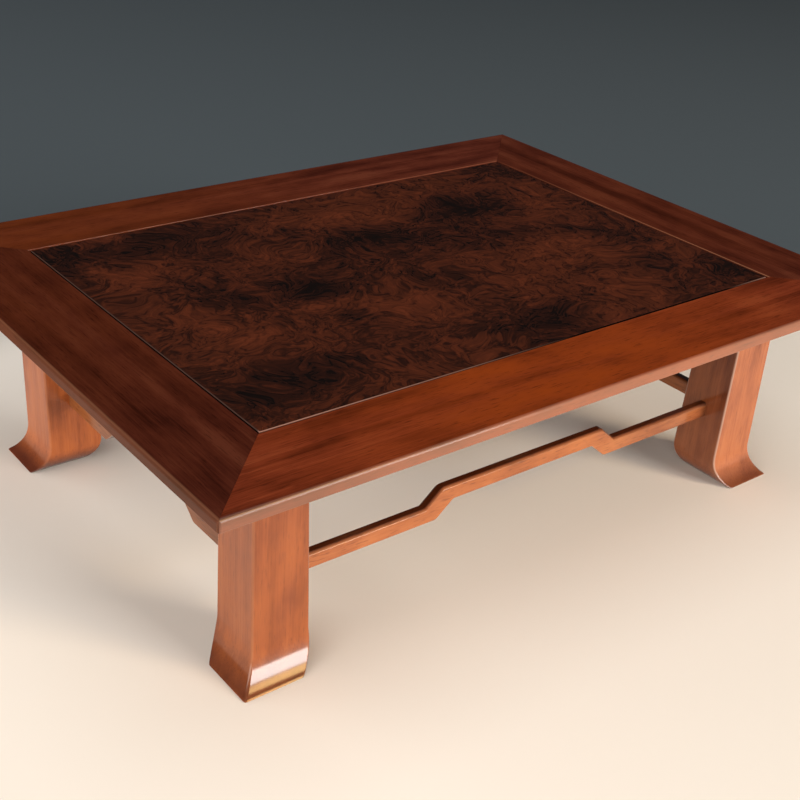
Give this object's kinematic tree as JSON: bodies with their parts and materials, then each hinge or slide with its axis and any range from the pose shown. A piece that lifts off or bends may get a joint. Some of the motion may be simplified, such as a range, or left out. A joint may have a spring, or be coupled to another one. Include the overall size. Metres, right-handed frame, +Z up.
{
  "type": "bonsai stand",
  "caption": "Low display stand for a bonsai pot: a mitred frame holds a flat burl panel on square legs with flared feet, tied by thin humpback stretchers.",
  "frame": {"origin": "on the floor, under the middle of the top", "axes": "+X along the long side, to the right seen from the front; +Y from the front to the back; +Z up"},
  "size_m": [0.4, 0.302, 0.118],
  "materials": {
    "frame_wood": "red-brown, satin oiled",
    "base_wood": "red-brown, satin oiled",
    "burl": "dark burl figure, semi-gloss",
    "hidden_wood": "plain, unfinished",
    "screw_brass": "dull"
  },
  "bodies": {
    "root": {"apron_back": "base_wood", "apron_front": "base_wood", "apron_left": "base_wood", "apron_right": "base_wood", "burl_panel": "burl", "button_screws": "screw_brass", "frame_back": "frame_wood", "frame_front": "frame_wood", "frame_left": "frame_wood", "frame_right": "frame_wood", "leg_back_left": "base_wood", "leg_back_right": "base_wood", "leg_front_left": "base_wood", "leg_front_right": "base_wood", "mitre_spline_back_left": "hidden_wood", "mitre_spline_back_right": "hidden_wood", "mitre_spline_front_left": "hidden_wood", "mitre_spline_front_right": "hidden_wood", "panel_batten_left": "hidden_wood", "panel_batten_right": "hidden_wood", "stretcher_back": "base_wood", "stretcher_front": "base_wood", "stretcher_left": "base_wood", "stretcher_right": "base_wood", "top_buttons": "hidden_wood"}
  },
  "joints": []
}
